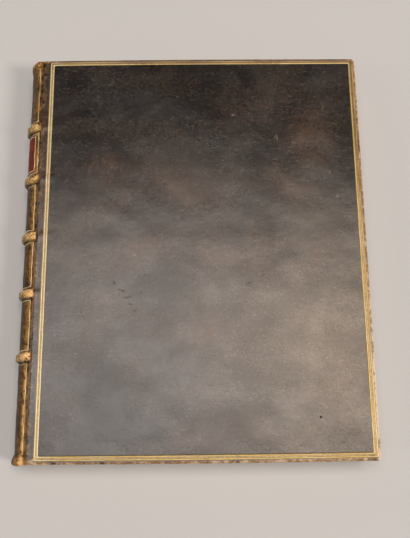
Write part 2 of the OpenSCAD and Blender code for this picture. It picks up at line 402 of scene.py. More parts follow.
def calf_mottle(s, specks, grain):
    """Nearly black calf with brown clouds, warm patches, dry wrinkles and dark pits."""
    mottle = s.plus(s.noise(30, 5, 0.58, warp=0.6, stretch=(0.8, 1, 1)), grain)
    blotch = s.plus(s.noise(8, 5, 0.58, warp=1.3), grain)
    stain = s.range(s.plus(s.noise(42, 5, 0.6, warp=0.8), grain), 0.28, 0.74)
    wrinkles = s.range(s.noise(620, 4, 0.72, warp=0.25, stretch=(0.62, 1.1, 1)), 0.53, 0.7)
    dry = s.range(s.noise(20, 4, 0.6, stretch=(0.6, 1, 1)), 0.34, 0.6, 0.15, 1.0)
    return s.layers(CALF_DARK, (s.range(mottle, 0.36, 0.7), CALF_BROWN),
                    (s.range(blotch, 0.5, 0.82, 0, 0.5), CALF_WARM),
                    (s.times(marks(s, WARM_PATCHES, soft=True), stain, 0.62), CALF_WARM),
                    (s.range(specks, 0.56, 0.78, 0, 0.25), CALF_WARM),
                    (s.times(wrinkles, dry, 0.42), CALF_SCUFF),
                    (s.range(s.noise(650, 3, 0.7), 0.58, 0.72, 0, 0.6), CALF_DARK))


def calf_rubbing(s, rub, colour):
    """Calf of a colour, rubbed from brown to bare leather at the edges and scuffed elsewhere. The raw pale
    calf along the lower fore-edge is worn leather and a painted highlight together.
    """
    bare = s.times(rub, s.range(s.noise(340, 5, 0.75, warp=0.5), 0.42, 0.6))
    scuffs = s.noise(55, 6, 0.78, stretch=(1, 0.1, 1), warp=0.5)
    return s.layers(colour, (s.range(rub, 0.12, 0.7), CALF_WORN), (s.range(bare, 0.15, 0.75), CALF_BARE),
                    (s.range(rub, 1.15, 1.6), CALF_RAW_AND_HIGHLIGHT), (s.range(scuffs, 0.68, 0.8, 0, 0.4), CALF_WORN))


def cover_calf():
    """Polished, nearly black calf, mottled brown, rubbed through at the edges, with a few marks."""
    s = Shader("cover_calf", Coat_Roughness=0.2)
    specks = s.noise(430, 4, 0.75)
    grain = s.times(s.minus(specks, 0.5), 0.55)
    gilt = s.times(s.value("gilt"), s.range(s.noise(520, 4, 0.75), 0.36, 0.58, 0.5, 1.0))
    rub = s.times(s.value("wear"), s.range(s.noise(150, 6, 0.74), 0.3, 0.62, 0.3, 1.2))
    pale = s.times(marks(s, PALE_MARKS, 0.8), s.range(s.noise(900, 3), 0.3, 0.6, 0.25, 1.0))
    dark = s.most(marks(s, DARK_MARKS, 0.5), s.times(marks(s, FINE_CREASES, 0.6), 0.4))
    colour = calf_rubbing(s, rub, s.mix(gilt, calf_mottle(s, specks, grain), FADED_GOLD))
    colour = s.layers(colour, (s.times(pale, 0.7), CALF_SCUFF), (s.times(dark, 0.85), CALF_BLACK))
    clouds = s.range(s.noise(24, 4, 0.55, warp=0.5), 0.25, 0.75, 0.17, 0.31)
    dull = s.range(s.plus(s.times(rub, 0.3), pale, dark), 0.1, 0.9, 0, 0.14)
    polish = s.noise(38, 4, 0.55, warp=0.4, stretch=(0.7, 1, 1))
    polish = s.range(s.minus(polish, s.times(grain, 0.62)), 0.2, 0.8, 0.35, 0.61)
    unmarked = s.minus(1.0, dark)
    normal = s.bump(dark, -0.25 * MM, under=leather_grain(s))
    normal = s.bump(pale, -0.06 * MM, under=normal)
    return s.finish(colour, Roughness=s.plus(clouds, s.times(grain, 0.18), dull), Normal=normal,
                    Specular_IOR_Level=s.times(polish, unmarked), Coat_Weight=s.times(unmarked, 0.3))


def slanting_hatch(s):
    """1 on slanting lines across the spine and 0 between them, by the places kept as UV."""
    along = s.node("ShaderNodeUVMap", uv_map="along").outputs["UV"]
    slant = s.plus(s.times(s.axis("X", along), 2900.0), s.times(s.axis("Y", along), 2600.0),
                   s.times(s.noise(180, 3), 2.2))
    return s.range(s.sine(slant), -0.7, 0.75)


def spine_calf():
    """Brown calf of the spine: darkened by dirt and painted shade in the creases at the bands and joints and
    by painted shadow on the bands' tail sides, golden where rubbed, gilt over the bands.
    """
    s = Shader("spine_calf", Coat_Weight=0.06, Coat_Roughness=0.22, Specular_IOR_Level=0.12)
    wear, gilt, hatch = s.value("wear"), s.value("gilt"), slanting_hatch(s)
    mottle = s.noise(150, 9, 0.72, warp=0.6, stretch=(1, 0.35, 1))
    rub = s.times(wear, s.range(s.noise(260, 7, 0.76, warp=0.4), 0.34, 0.6, 0.05, 1.25))
    dust = s.times(s.range(s.noise(700, 4, 0.8), 0.56, 0.66), s.range(rub, 0.3, 1.0, 0, 0.9))
    gold = s.most(s.times(gilt, hatch, s.range(s.noise(330, 6, 0.76), 0.37, 0.55)), dust)
    colour = s.layers(SPINE_DARK, (s.range(mottle, 0.38, 0.6), SPINE_BROWN),
                      (s.range(rub, 0.15, 0.85), SPINE_WORN),
                      (s.range(s.times(rub, wear), 0.75, 1.4), SPINE_BARE),
                      # Darker where the mesh keeps dirt and painted shade: the creases at the bands and
                      # joints, and painted shadow on the bands' tail sides
                      (s.times(s.value("dirt_and_painted_shade"), 0.85), SPINE_DARK),
                      (s.times(gilt, s.minus(1.0, hatch), 0.2), SPINE_DARK), (gold, GOLD))
    normal = s.bump(s.times(gilt, hatch), 0.22 * MM, under=leather_grain(s, 1.5))
    return s.finish(colour, Roughness=s.range(mottle, 0.3, 0.7, 0.3, 0.52),
                    Metallic=s.times(gold, 0.8), Normal=normal)


def gold_leaf():
    """Gold pressed into the leather, rubbed through in places and palest along the joint."""
    s = Shader("gold_leaf")
    patches = s.range(s.noise(75, 7, 0.72, warp=0.3), 0.26, 0.42, 0.15, 1.0)
    flecks = s.noise(1100, 4, 0.75)
    left = s.times(patches, s.range(flecks, 0.3, 0.45, 0.2, 1.0), s.minus(1.0, s.value("rub")))
    by_joint = s.range(s.axis("X"), -0.098, -0.08, 0.85, 0.0)
    pale = s.most(s.range(s.noise(36, 5, 0.7), 0.42, 0.8), by_joint)
    colour = s.mix(left, CALF_WORN, s.mix(pale, GOLD, PALE_GOLD))
    normal = s.bump(s.noise(900, 3), 0.08 * MM)
    return s.finish(colour, Roughness=s.range(flecks, 0.3, 0.7, 0.34, 0.54),
                    Metallic=s.times(left, 0.6), Normal=normal)


def red_morocco():
    """Dull red label leather, browned and rubbed at its edges."""
    s = Shader("label_leather", Specular_IOR_Level=0.12)
    mottle = s.noise(150, 5, 0.65)
    rub = s.times(s.value("wear"), s.range(s.noise(260, 5, 0.7), 0.3, 0.6, 0.2, 1.1))
    colour = s.layers(MOROCCO_DARK, (s.range(mottle, 0.3, 0.72), MOROCCO_RED),
                      (s.range(rub, 0.2, 0.9), MOROCCO_WORN))
    grain = s.range(s.cells(900, feature="DISTANCE_TO_EDGE"), 0.0, 0.2)
    return s.finish(colour, Roughness=s.range(mottle, 0.3, 0.7, 0.5, 0.65),
                    Normal=s.bump(grain, 0.08 * MM))


def page_edges():
    """Cream paper seen on its edges: fine uneven lines with painted shade between them, groups of browner
    ones and stains.
    """
    s = Shader("page_edges", Roughness=0.85)
    lines = s.noise(1.0, 2, 0.6, stretch=(25, 25, 9000))
    groups = s.noise(1.0, 2, 0.5, stretch=(8, 8, 900))
    stains = s.noise(18, 5, 0.6, warp=0.5)
    colour = s.layers(PAGE_SHADE, (s.range(lines, 0.32, 0.7), PAGE_CREAM),
                      (s.range(groups, 0.45, 0.75, 0, 0.45), PAGE_BROWN),
                      (s.range(stains, 0.48, 0.75, 0, 0.5), PAGE_STAIN))
    return s.finish(colour, Normal=s.bump(lines, 0.06 * MM))


def old_paper():
    """Laid paper: faint lines, fibres, clouds and foxing."""
    s = Shader("old_paper", Roughness=0.82)
    laid = s.sine(s.times(s.axis("Y"), 4500.0))
    fox = s.range(s.noise(95, 3, 0.5), 0.7, 0.8)
    colour = s.layers(PAPER_CREAM, (s.range(s.noise(9, 5, 0.6), 0.3, 0.75), PAPER_BROWN),
                      (s.range(laid, -1, 1, 0, 0.08), PAPER_LINE), (s.times(fox, 0.5), PAPER_FOX))
    fibres = s.bump(s.noise(700, 4, 0.7), 0.04 * MM)
    return s.finish(colour, Normal=s.bump(laid, 0.01 * MM, under=fibres))


def silk():
    """Headband silk in two colours, sewn round the core, with dirt."""
    s = Shader("silk", Roughness=0.6, Sheen_Weight=0.3)
    colour = s.layers(SILK_CREAM, (s.range(s.value("turn"), 0.4, 0.6), SILK_RED),
                      (s.range(s.noise(240, 4, 0.6), 0.4, 0.75, 0, 0.7), SILK_DIRT))
    return s.finish(colour, Normal=s.bump(s.noise(2500, 2), 0.05 * MM))


def hemp():
    """Strands of hemp, darker between them."""
    s = Shader("hemp", Roughness=0.9)
    strands = s.noise(900, 4, 0.7, stretch=(1, 0.3, 1))
    colour = s.mix(s.range(strands, 0.3, 0.7), HEMP_DARK, HEMP_PALE)
    return s.finish(colour, Normal=s.bump(strands, 0.2 * MM))


def pasteboard():
    """Sheets of waste paper pasted together, as they show on a cut edge."""
    s = Shader("pasteboard", Roughness=0.92)
    sheets = s.noise(1.0, 4, 0.7, stretch=(60, 60, 2500))
    colour = s.mix(s.range(sheets, 0.3, 0.7), BOARD_DARK, BOARD_PALE)
    return s.finish(colour, Normal=s.bump(sheets, 0.1 * MM))


CALF = cover_calf()
SPINE = spine_calf()
GILT = gold_leaf()
LABEL = red_morocco()
PAGE = page_edges()
PAPER = old_paper()
SILK = silk()
HEMP = hemp()
BOARD = pasteboard()

# The covers

FLAT_INSET = 8 * MM
STRETCH = 12 * MM
CORNER_R = 2.6 * MM
EDGE_R = 1.3 * MM
TURN_IN_W = 14 * MM
GROOVE = 0.2 * MM
GROOVE_WALL = 0.25 * MM
CREASE = 0.1 * MM
CREASE_W = 1.1 * MM
BOW = 0.45 * MM
SUNK = 0.26 * MM

# Insets in mm of the lines round a cover's outer face, closest where the gilt grooves run
FACE_INSETS = (6.6, 5.7, 5.2, 4.95, 4.8, 4.6, 4.4, 4.2, 4.05, 3.9, 3.7, 3.5, 3.35, 3.1, 2.95, 2.8, 2.6,
               2.45, 2.3, 2.1, 1.95, 1.75, 1.5)
INSIDE_INSETS = (2.5, 4.5, 7, 10, 13)


def gilt_rectangles():
    """Opposite corners of the outer and of the inner gilt line of a cover."""
    outer = ((X0 + JOINT_INSET, TAIL_INSET - HALF_H), (X1 - EDGE_INSET, HALF_H - EDGE_INSET))
    inner = ((outer[0][0] + JOINT_PITCH, outer[0][1] + TAIL_PITCH),
             (outer[1][0] - FORE_PITCH, outer[1][1] - HEAD_PITCH))
    return outer, inner


def outside(x, y, corners):
    """How far a point lies outside a rectangle. It is below 0 inside."""
    (left, low), (right, high) = corners
    return np.maximum.reduce([left - x, x - right, low - y, y - high])


def cover_height(x, y, seed):
    """Height of a cover's outer face over its flat plane: unevenness, cord slips, crease at the joint."""
    height = 0.16 * MM * waves(x, y, 0.11, seed) + 0.035 * MM * waves(x, y, 0.021, seed + 1)
    slips = sum(bell(y - band, 2.1 * MM) for band in BAND_Y)
    height += 0.3 * MM * slips * (1 - smooth((x - X0 - 2 * MM) / (11 * MM))) * smooth((x - X0) / (1.5 * MM))
    return height - CREASE * (1 - smooth((x - X0) / CREASE_W)) - SUNK


def cover_groove(x, y):
    """Depth of the tooled grooves under a cover's two gilt lines."""
    distance = np.minimum.reduce([np.abs(outside(x, y, corners)) for corners in gilt_rectangles()])
    return GROOVE * (1 - smooth((distance - LINE_W * 0.5) / GROOVE_WALL))


def bowed(x, y):
    """The boards' ends are a little fuller in the middle than at the corners."""
    middle = (X0 + X1) / 2
    fullness = np.cos(np.clip((x - middle) / (X1 - X0), -0.5, 0.5) * math.pi)
    return y + np.sign(y) * BOW * fullness * (np.abs(y) / HALF_H) ** 6


def cover_wear(x, y, inset):
    """How rubbed the leather is: most along the fore-edge and at the corners, a little at the joint. The
    steep rise along the lower fore-edge is also a painted highlight on the board's edge.
    """
    to_fore, to_end = X1 - x, HALF_H - np.abs(y)
    # Worn leather and a painted highlight: the level climbs steeply towards the tail, so the lower fore-edge
    # turns raw pale calf
    fore = 0.95 + 1.1 * smooth((-y - 10 * MM) / (80 * MM))
    end = np.where(y > 0, 0.4, 0.62 + 0.38 * smooth((x - X0) / (X1 - X0)))
    level = end + (fore - end) * smooth(0.5 + (to_end - to_fore) / (8 * MM))
    wear = level * (1 - smooth((inset - 0.5 * MM) / (2.2 * MM)))
    wear += 0.5 * np.exp(-np.hypot(to_fore, to_end) / (4.5 * MM))
    wear += 0.4 * np.exp(-np.hypot(x - X0, to_end) / (3 * MM)) + 0.36 * np.exp(-(x - X0) / (6 * MM))
    return np.clip(wear, 0, 2.1)


def gilt_remains(x, y):
    """1 between the two gilt lines and just beside them, where flecks of gold stay in the leather.
    Fewer stay along the head and the upper fore-edge."""
    outer, inner = gilt_rectangles()
    beyond = np.maximum(outside(x, y, outer), -outside(x, y, inner))
    at_head = smooth((y - HALF_H + 8 * MM) / (4 * MM))
    high_fore = smooth((x - X1 + 8 * MM) / (4 * MM)) * smooth((y - 20 * MM) / (70 * MM))
    lost = np.maximum(0.62 * at_head, 0.45 * high_fore)
    return (1 - smooth((beyond - 0.3 * MM) / (0.5 * MM))) * (1 - lost)


def u_ring(inset, xs, ys):
    """The points of a line round the tail, fore-edge and head of a cover, inset from its edges.
    xs and ys are the places on the flat part. The last of them reach out to the line, round its corners."""
    reach = FLAT_INSET - inset
    x_end, y_end = xs[-1], ys[-1]
    x_line = xs + reach * np.clip((xs - x_end + STRETCH) / STRETCH, 0, 1)
    y_line = ys + reach * np.clip((np.abs(ys) - y_end + STRETCH) / STRETCH, 0, 1) * np.sign(ys)
    right, half = x_end + reach, y_end + reach
    tail = np.stack([x_line, np.full(len(xs), -half)], axis=1)
    fore = np.stack([np.full(len(ys), right), y_line], axis=1)[1:-1]
    line = np.concatenate([tail, fore, tail[::-1] * (1, -1)])
    radius = CORNER_R - inset
    if radius > 0:
        for sign in (-1, 1):
            centre = np.array([right - radius, sign * (half - radius)])
            away = (line - centre) * (1, sign)
            near = (away >= 0).all(axis=1)
            x, y = away[near].T
            angle = np.minimum(x, y) / radius * math.pi / 4
            most, least = np.cos(angle), np.sin(angle)
            across, up = np.where(x >= y, (most, least), (least, most))
            line[near] = centre + radius * np.stack([across, sign * up], axis=1)
    return line


def cover_rings():
    """Inset, drop under the outer plane and share of the relief of each line round a cover, from the
    flat part over the edge to the turned-in margin and back along the hollow for the board."""
    rings = [(inset * MM, 0.0, 1.0) for inset in FACE_INSETS]
    for turn in np.linspace(0, math.pi / 2, 8):
        rings.append((EDGE_R * (1 - math.sin(turn)), EDGE_R * (1 - math.cos(turn)), math.cos(turn)))
    for turn in np.linspace(0, math.pi / 2, 7):
        rings.append((EDGE_R * (1 - math.cos(turn)), EDGE_T - EDGE_R * (1 - math.sin(turn)), 0.0))
    rings += [(inset * MM, EDGE_T, 0.0) for inset in INSIDE_INSETS]
    hollow = ((TURN_IN_W, EDGE_T), (TURN_IN_W, EDGE_T - TURNED_T), (6 * MM, EDGE_T - TURNED_T),
              (LEATHER_T, EDGE_T - TURNED_T), (LEATHER_T, EDGE_T / 2), (LEATHER_T, LEATHER_T))
    return rings + [(inset, drop, 0.0) for inset, drop in hollow]


def cover_grid():
    """Places across and along the flat part of a cover, closer near the joint and the corners."""
    xs = spaced([X0, X0 + 1.5 * MM, X0 + 4.6 * MM, X0 + 7.8 * MM, X1 - 20 * MM, X1 - 10 * MM,
                 X1 - FLAT_INSET], (0.25, 0.9, 0.15, 1.7, 1, 0.5))
    flat = HALF_H - FLAT_INSET
    ys = spaced([-flat, 2 * MM - flat, 12 * MM - flat, flat - 12 * MM, flat - 2 * MM, flat],
                (0.5, 1, 1.7, 1, 0.5))
    return xs, ys


def cover_line(inset, drop, share, xs, ys, seed):
    """Points, wear and gilt along one line round a cover. The leather is nicked where it turns over."""
    line = u_ring(inset, xs, ys)
    x, y = line.T
    nick = 0.12 * MM * waves(x, y, 0.016, seed + 3) * (1 - share) * (drop < EDGE_T) * (inset < LEATHER_T)
    relief = cover_height(x, y, seed) - cover_groove(x, y) if share else 0 * x
    z = TOP - drop + relief * share - SUNK * (1 - share) * (drop < EDGE_T / 2)
    outward = np.where(np.abs(y) > HALF_H - FLAT_INSET, np.sign(y), 0)
    points = np.stack([x + np.where(x > xs[-1], nick, 0), bowed(x, y) + outward * nick,
                       np.maximum(z, TOP - EDGE_T)], axis=1)
    wear = cover_wear(x, y, inset if drop < EDGE_T else 3 * MM)
    return points, wear, gilt_remains(x, y) * (drop < EDGE_R)


def cover_leather(side, seed, word):
    """One skin: outer face, edges and turned-in margins, with a hollow for the board."""
    xs, ys = cover_grid()
    x, y = (part.ravel() for part in np.meshgrid(xs, ys))
    z = TOP + cover_height(x, y, seed) - cover_groove(x, y)
    wear = cover_wear(x, y, np.minimum(X1 - x, HALF_H - np.abs(y)))
    lines = [(np.stack([x, bowed(x, y), z], axis=1), wear, gilt_remains(x, y))]
    lines += [cover_line(*ring, xs, ys, seed) for ring in cover_rings()]
    points, wear, gilt = (np.concatenate(part) for part in zip(*lines))
    points[:, 2] = MIDDLE + side * points[:, 2]
    grid = vertex_grid(len(ys), len(xs))
    rim = np.concatenate([grid[0], grid[1:-1, -1], grid[-1, ::-1]])
    rings = np.concatenate([[rim], vertex_grid(len(lines) - 1, len(rim), grid.size)])
    joint_face = np.concatenate([grid[1:-1, 0], rings[:, -1], rings[::-1, 0]])
    faces = [*quads(grid), *quads(rings.T), rings[-1, ::-1], joint_face]
    make_piece(f"{word}_cover_calf", points, faces, f"{word}_cover", CALF,
               [f"{word}_leather"], {"wear": wear, "gilt": gilt})


def rectangle_loop(low, high, across, up):
    """Points round a rectangle from its low corner, evenly along each side."""
    corners = np.array([low, (high[0], low[1]), high, (low[0], high[1]), low])
    sides = [a + np.linspace(0, 1, steps + 1)[:-1, None] * (b - a)
             for a, b, steps in zip(corners, corners[1:], (across, up, across, up))]
    return np.concatenate(sides)


def strip_points(outline, place, thick):
    """Four lines of points round a strip's section. outline(side) is its rim on one side, -1 or 1, and
    place(a, b, lift) turns its own plane into the book's frame."""
    rings = []
    for side, lift in ((-1, 0), (-1, 1), (1, 1), (1, 0)):
        line = outline(side)
        rings.append(place(line[:, 0], line[:, 1], (lift - 1.0) * thick))
    return np.concatenate(rings)


def frame_strip(low, high, width, place, thick, step=1.3 * MM, seed=0, sway=0.0, ragged=0.08):
    """A flat strip round a rectangle, as uneven as hand tooling."""
    low, high = np.array(low), np.array(high)
    across, up = (max(4, round(length / step)) for length in high - low)

    def outline(side):
        loop = rectangle_loop(low - side * width / 2, high + side * width / 2, across, up)
        x, y = loop.T
        wobble = ragged * width * waves(x, y, 0.006, seed + 1 + side) + sway * waves(x, y, 0.013, seed + 5)
        away = loop - (low + high) / 2
        return loop + np.sign(away) * wobble[:, None] * (np.abs(away) > 2 * width)

    points = strip_points(outline, place, thick)
    return points, loop_faces(4, len(points) // 4)


def ribbon(start, end, width, place, thick):
    """A short straight strip that narrows to its end."""
    t = np.linspace(0, 1, 9)[:, None]
    way = np.subtract(end, start)
    across = np.array([-way[1], way[0]]) / np.linalg.norm(way) * width / 2

    def outline(side):
        return start + t * way + side * across * (1 - 0.6 * t)

    grid = vertex_grid(4, len(t))
    faces = np.concatenate([quads(np.pad(grid, ((0, 1), (0, 0)), "wrap")), grid[:, [0, -1]].T])
    return strip_points(outline, place, thick), faces


GILT_T = 0.12 * MM
GILT_SUNK = 0.05 * MM
CORNER_TIP = (X0 + 1.0 * MM, 1.2 * MM - HALF_H)


def cover_gilding(side, seed, word):
    """The pair of gilt lines in the grooves of a cover, and a stroke out to the corner at tail and joint."""
    def place(x, y, lift):
        z = TOP + cover_height(x, y, seed) - GILT_SUNK + lift
        return np.stack([x, bowed(x, y), MIDDLE + side * z], axis=1)

    def raised(x, y, lift):
        return place(x, y, lift + GILT_T)

    rectangles = gilt_rectangles()
    parts = [frame_strip(low, high, GOLD_W, place, GILT_T, seed=seed + 20) for low, high in rectangles]
    parts.append(ribbon(rectangles[1][0], CORNER_TIP, GOLD_W, raised, 0.2 * MM))
    points, faces = merged(parts)
    x, y = points[:, 0], points[:, 1]
    outer_head = y > HALF_H - EDGE_INSET - 0.8 * MM
    outer_fore = x > X1 - EDGE_INSET - 0.8 * MM
    fore_wear = 0.3 * smooth(y / (40 * MM) + 2.2) + 0.38 * smooth(y / (50 * MM))
    rub = (0.7 * outer_head + fore_wear * outer_fore) * (1 + 0.55 * waves(x, y, 0.03, seed + 31))
    make_piece(f"{word}_gilt_lines", points, faces, f"{word}_cover", GILT,
               [f"{word}_gilding"], {"rub": np.clip(rub, 0, 1)})


for side, seed, word in SIDES:
    cover_leather(side, seed, word)
    cover_gilding(side, seed, word)

# The spine

PANEL_ANGLE = math.radians(60)
LABEL_ANGLE = math.radians(56)
BAND_LINE_GAP = 1.2 * MM
FEET_DEPTH = 0.32 * MM
FLUSH_SOFTNESS = 0.12 * MM

# From the head: how far round the spine the gilt frame of each panel reaches, in degrees, and its wear
PANEL_TURNS = (60, 64, 61, 61.5, 62, 60)
PANEL_RUBS = (0.45, 0.35, 0.15, 0.2, 0.3, 0.35)


def towards_joint(a, over):
    """1 along the middle of the spine, falling to 0 at the joints."""
    return smooth((ARC_HALF - np.abs(a)) / over)


def band_profile(y):
    """1 on top of a raised band, 0 in the panels, with rounded feet."""
    return sum(1 / (1 + (np.abs(y - band) / (BAND_W * 0.42)) ** 7) for band in BAND_Y)


def band_feet(y):
    """1 in the crease that the binder pinched along each side of a band."""
    return sum(bell(np.abs(y - band) - BAND_W * 0.66, 0.55 * MM) for band in BAND_Y)


def band_shade(y):
    """1 along the tail side of each band: painted shadow, as if the bands were lit from the head side."""
    return sum(bell(y - band + BAND_W * 0.56, 1.6 * MM) for band in BAND_Y)


def spine_rise(a, y):
    """Height of the spine's leather over its plain round, which never stands above the covers' plane."""
    rise = BAND_RISE * band_profile(y) * (0.2 + 0.8 * towards_joint(a, 3.2 * MM))
    rise = rise * (1 + 0.06 * waves(a, y, 0.006, SPINE_SEED + 2))
    rise -= FEET_DEPTH * band_feet(y) * towards_joint(a, 2 * MM)
    rise += 0.12 * MM * waves(a, y, 0.03, SPINE_SEED) * towards_joint(a, 6 * MM)
    rise += 0.05 * MM * waves(a, y, 0.007, SPINE_SEED + 1) * towards_joint(a, 2 * MM)
    flush = np.minimum(TOP / np.maximum(np.sin(np.abs(a) / SPINE_R), 0.05) - SPINE_R, 20 * MM)
    rise = -FLUSH_SOFTNESS * np.log(np.exp(-rise / FLUSH_SOFTNESS) + np.exp(-flush / FLUSH_SOFTNESS))
    return rise - (CREASE + 0.06 * MM) * (1 - smooth((ARC_HALF - np.abs(a)) / CREASE_W)) - 0.05 * MM


def around_spine(a, radius, y):
    """Points at a radius from the spine's axis, a along its round from the middle and y along its length."""
    angle = a / SPINE_R
    return np.stack([AXIS_X - radius * np.cos(angle), y + 0 * a, MIDDLE + radius * np.sin(angle)], axis=-1)


def spine_point(a, y, lift=0.0):
    """Points on the spine's leather, or lifted off it."""
    return around_spine(a, SPINE_R + spine_rise(a, y) + lift, y)


def cap_bulge(y):
    """The caps stand out a little over the spine, the tail's more, as the book has stood on it."""
    full = np.where(np.asarray(y) < 0, CAP_BULGE + TAIL_FULLNESS, CAP_BULGE)
    return full * smooth((np.abs(y) - CAP_Y + CAP_RUN) / CAP_RUN)


def spine_rows():
    """Places along the spine from cap to cap, closer at the bands."""
    by_bands = [band + sign * BAND_W for band in reversed(BAND_Y) for sign in (-1, 1)]
    return spaced([-CAP_Y, *by_bands, CAP_Y], (0.9, 0.3) * len(BAND_Y) + (0.9,))


def spine_line(end, value, a, depth):
    """Radius and y along one row of the leather, at a depth in it. value is the row's y, or its roll
    over the cap at an end."""
    middle = towards_joint(a, 5 * MM)
    y = np.full(len(a), end * CAP_Y if end else value)
    radius = SPINE_R + spine_rise(a, y) + cap_bulge(y) * middle
    if not end:
        return radius - depth, y
    roll = CAP_R - depth
    wave = 1 + 0.03 * waves(a, end * 0.3 + 0 * a, 0.009, SPINE_SEED + 7)
    over = roll * math.sin(value) * wave * (CAP_PINCH + 0.36 * middle)
    return radius - CAP_R + roll * math.cos(value), end * (CAP_Y + over)


def spine_use(a, y, end):
    """Wear with a painted highlight at the bands' ends, dirt with painted shade and shadow, and gilt along
    one row of the spine's leather.
    """
    lift = 0 * y if end else band_profile(y)
    shoulder = smooth((np.abs(a) / SPINE_R - math.radians(24)) / math.radians(22))
    ridge = bell(np.abs(a) - PANEL_ANGLE * SPINE_R + 0.6 * MM, 1.5 * MM)
    low_down = smooth((-y - 20 * MM) / (90 * MM))
    handled = smooth((30 * MM - y) / (100 * MM))
    ends = smooth((np.abs(y) - HALF_H + 7 * MM) / (5 * MM)) * np.where(y < 0, 0.32, 0.5)
    # Painted highlight: pale worn colour on each band's end next to a joint, where light catches it
    band_end_highlight = 0.7 * lift * bell(np.abs(a) - ARC_HALF + 4 * MM, 2.6 * MM)
    crown = lift * (0.35 + 0.2 * shoulder + 0.45 * handled)
    wear = 0.1 + 0.3 * shoulder + crown + band_end_highlight + ends + (0.35 + 0.45 * low_down) * ridge
    # Painted shadow on each band's tail side, and the pinched feet of the bands darkened by dirt and painted
    # shade
    feet = 0 * y if end else 0.8 * band_feet(y) + band_shade(y) * (1 - 0.6 * shoulder)
    # Painted shade in the crease along each joint, added to the dirt and painted shade at the bands
    dirt_and_painted_shade = 0.15 * np.exp(-(ARC_HALF - np.abs(a)) / (0.7 * MM)) + 0.9 * feet
    gilt = smooth((lift - 0.3) / 0.3) * towards_joint(a, 1.5 * MM) * (1 - 0.5 * handled)
    return np.clip(wear, 0, 1.5), np.clip(dirt_and_painted_shade, 0, 1), gilt


def spine_leather():
    """The skin of the spine, rolled over at head and tail."""
    half = spaced([0, ARC_HALF - 2 * MM, ARC_HALF], (0.75, 0.3))
    a = np.unique(np.concatenate([-half, half]).round(9))
    rolls = np.linspace(0, CAP_ROLL, 15)[1:]
    rows = [(-1, roll) for roll in rolls[::-1]] + [(0, y) for y in spine_rows()]
    rows += [(1, roll) for roll in rolls]
    lines = []
    for depth in (0.0, LEATHER_T):
        for end, value in rows:
            radius, y = spine_line(end, value, a, depth)
            wear, dirt_and_painted_shade, gilt = spine_use(a, y, end)
            place = np.stack([a, y], axis=1)
            lines.append((around_spine(a, radius, y), wear, dirt_and_painted_shade, gilt * (depth == 0), place))
    points, wear, dirt_and_painted_shade, gilt, uv = (np.concatenate(part) for part in zip(*lines))
    make_piece("spine_calf", points, slab_faces(len(rows), len(a)), "pages", SPINE,
               ["spine_leather"], {"wear": wear, "dirt_and_painted_shade": dirt_and_painted_shade, "gilt": gilt}, uv)


def panels():
    """Lowest and highest y of each panel between the bands and caps, from the head."""
    inner = [band + sign * BAND_W / 2 for band in BAND_Y for sign in (1, -1)]
    edges = [HALF_H - 2 * CAP_R] + inner + [2 * CAP_R - HALF_H]
    return list(zip(edges[1::2], edges[::2]))


def spine_gilding():
    """A gilt line round each panel of the spine, worn away more in some panels than in others."""
    def place(a, y, lift):
        return spine_point(a, y, lift + 0.05 * MM)

    parts, rubs = [], []
    gap = BAND_LINE_GAP + LINE_W / 2
    for index, (low, high) in enumerate(panels()):
        reach = math.radians(PANEL_TURNS[index]) * SPINE_R
        strip = frame_strip([-reach, low + gap], [reach, high - gap], SPINE_GOLD_W, place, 0.16 * MM,
                            0.7 * MM, seed=200 + index, sway=0.2 * MM, ragged=0.25)
        uneven = 0.5 * waves(strip[0][:, 0], strip[0][:, 1], 0.011, 260 + index)
        parts.append(strip)
        rubs.append(np.clip(PANEL_RUBS[index] + uneven, 0, 0.95))
    points, faces = merged(parts)
    make_piece("spine_gilt_lines", points, faces, "pages", GILT, ["spine_gilding"],
               {"rub": np.concatenate(rubs)})


def label():
    """Thin red leather pared at its edges, in a gilt frame."""
    def place(a, y, lift):
        return spine_point(a, y, LABEL_T + lift + 0.05 * MM)

    reach = LABEL_ANGLE * SPINE_R
    half = (LABEL_HIGH.y - LABEL_LOW.y) / 2
    middle = (LABEL_HIGH.y + LABEL_LOW.y) / 2
    ga, gy = np.meshgrid(np.linspace(-1, 1, 56) * reach, np.linspace(-1, 1, 50) * half)
    near = np.minimum(reach - np.abs(ga), half - np.abs(gy))
    ragged = 1 + 0.012 * waves(ga, gy, 0.008, SPINE_SEED + 30)
    pared = LABEL_T * (1 - smooth(near / (0.7 * MM))) * 0.8
    points = [spine_point(ga * ragged, gy * ragged + middle, lift).reshape(-1, 3)
              for lift in (LABEL_T - pared, -0.1 * MM)]
    wear = np.exp(-near / (0.8 * MM)).ravel()
    make_piece("label_leather", np.concatenate(points), slab_faces(*ga.shape), "pages",
               LABEL, ["spine_label"], {"wear": np.concatenate([wear, wear])})
    line_a, line_y = reach - 0.35 * MM, half - 1.5 * LINE_W
    points, faces = frame_strip([-line_a, middle - line_y], [line_a, middle + line_y], LINE_W, place,
                                0.1 * MM, 0.9 * MM, seed=240, sway=0.16 * MM, ragged=0.3)
    make_piece("label_gilt_lines", points, faces, "pages", GILT, ["label_gilding"])


spine_leather()
spine_gilding()
label()

# The pages

PAGE_GROUPS = 14
PAGES_A_GROUP = 8
LEAF_GAP = 0.12
HOLLOW = 4.5 * MM
ACROSS_STEPS = 60


